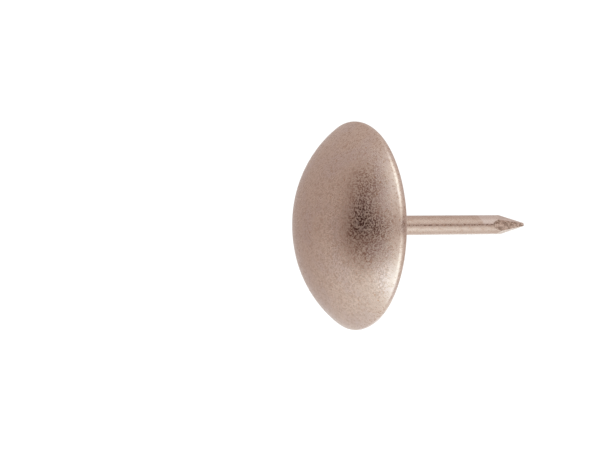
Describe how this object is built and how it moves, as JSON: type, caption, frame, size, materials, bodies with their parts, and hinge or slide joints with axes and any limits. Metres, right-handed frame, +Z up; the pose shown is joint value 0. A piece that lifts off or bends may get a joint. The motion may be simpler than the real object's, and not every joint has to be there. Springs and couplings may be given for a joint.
{
  "type": "nail",
  "caption": "Domed decorative nail: a hollow pressed-steel head with a turned rim, a wire shank with a pinched point, and the braze that joins them.",
  "frame": {"origin": "centre of the plane that the turned rim seats on, on the shank's axis", "axes": "+Y along the shank towards the point, so the crown faces -Y; +Z up with the nail driven level; the two narrow flats of the point face +X and -X"},
  "size_m": [0.0254, 0.0312, 0.0254],
  "materials": {
    "antique_plate_head": "satin antique nickel plating with a warm brown patina, fine grain and mottling",
    "antique_plate_shank": "the same satin plating over drawn wire, with faint lengthwise drawing marks",
    "braze_metal": "dull plated braze, slightly uneven"
  },
  "bodies": {
    "root": {"head_shell": "antique_plate_head", "shank": "antique_plate_shank", "braze_fillet": "braze_metal"}
  },
  "joints": []
}
